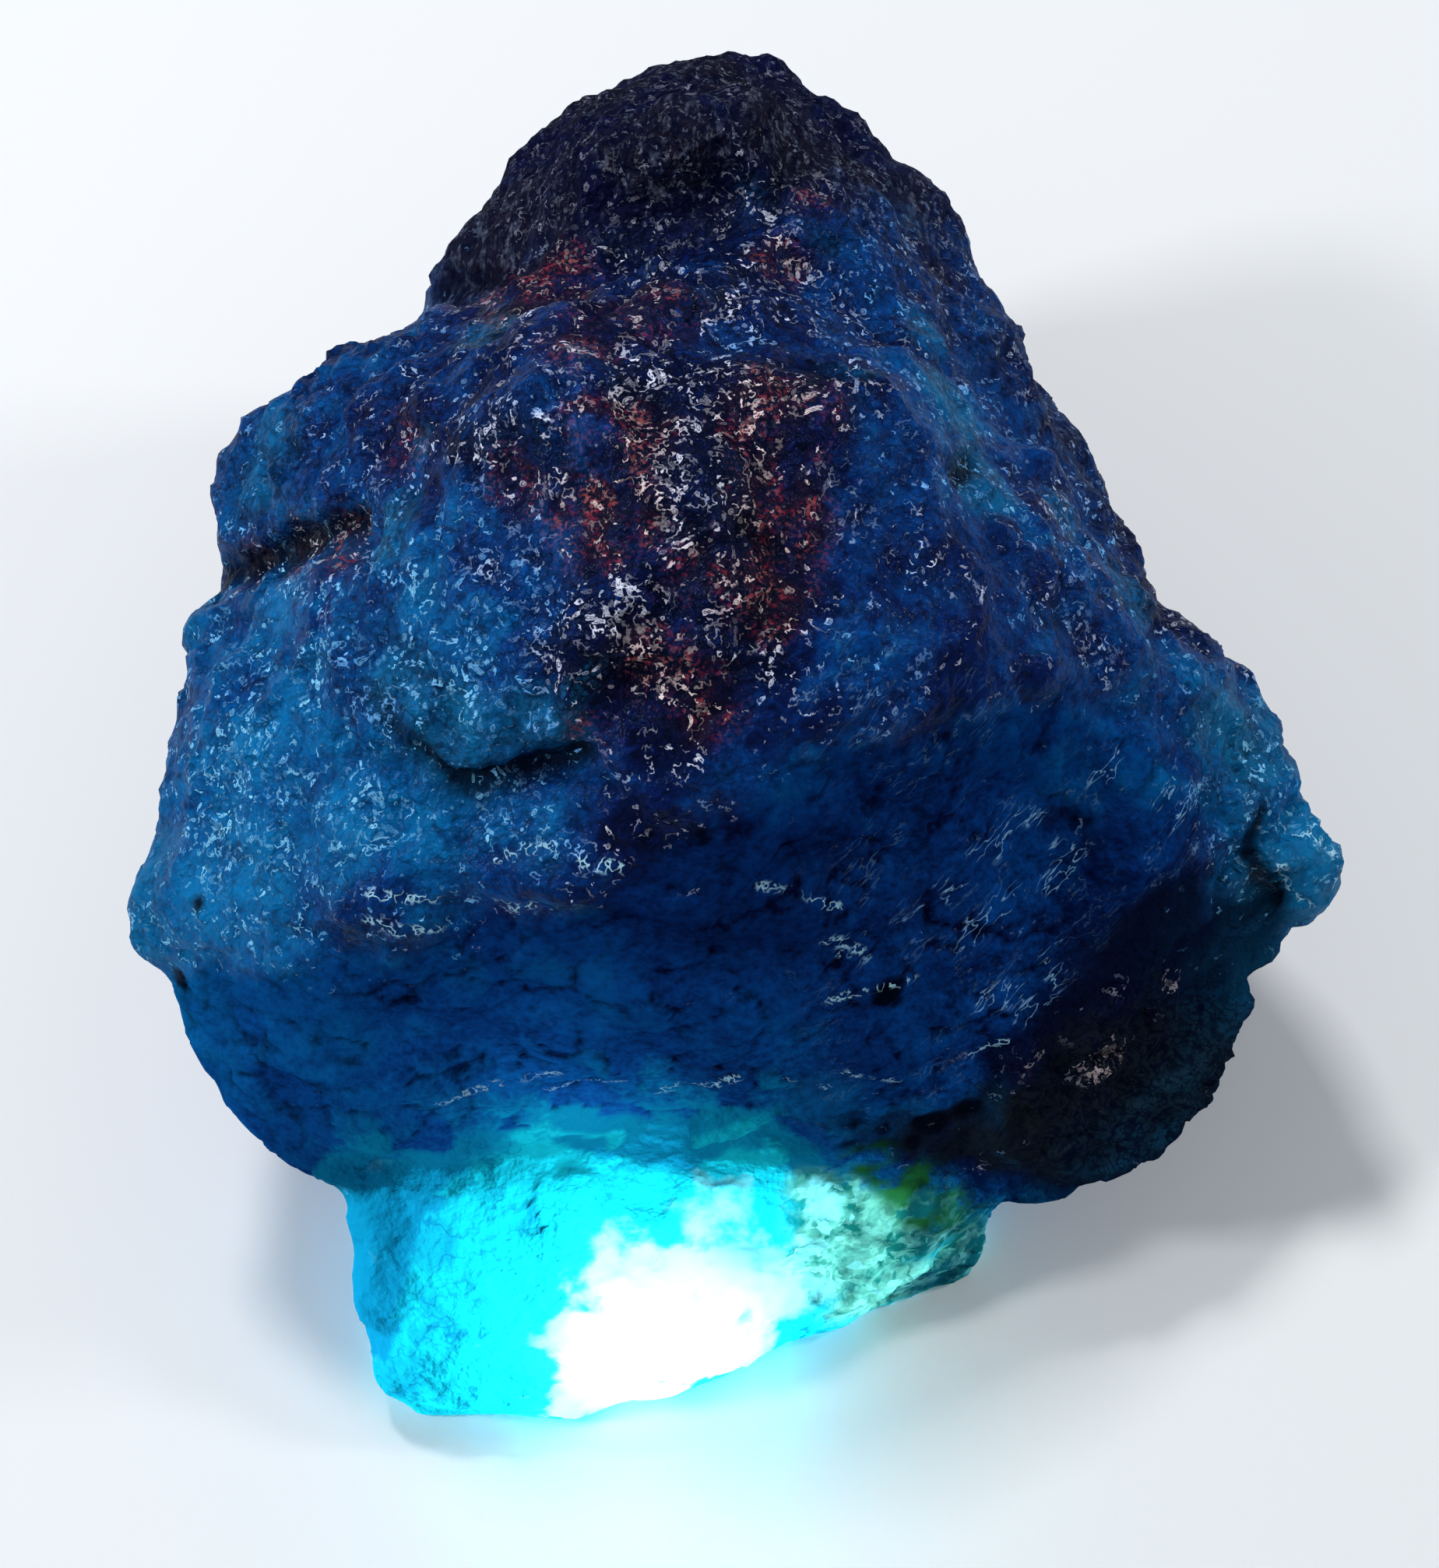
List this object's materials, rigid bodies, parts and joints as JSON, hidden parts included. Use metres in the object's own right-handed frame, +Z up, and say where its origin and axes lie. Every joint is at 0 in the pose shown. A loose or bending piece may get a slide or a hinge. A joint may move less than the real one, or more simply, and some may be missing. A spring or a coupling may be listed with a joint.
{
  "type": "rough sapphire",
  "caption": "Rough translucent blue gem crystal: a chunky broken fragment with a crusted crown, a dark lump and a thin toe, standing on a small flat.",
  "frame": {"origin": "centre of the bounding box's base, on the flat that the stone stands on", "axes": "+Z up, -Y towards the thin toe, +Y towards the crusted crown, +X towards the knob"},
  "size_m": [0.037, 0.0402, 0.0305],
  "materials": {
    "sapphire": "rough, uncut, wet-looking translucent blue with a glassy broken surface"
  },
  "bodies": {
    "root": {"rough_sapphire": "sapphire"}
  },
  "joints": []
}
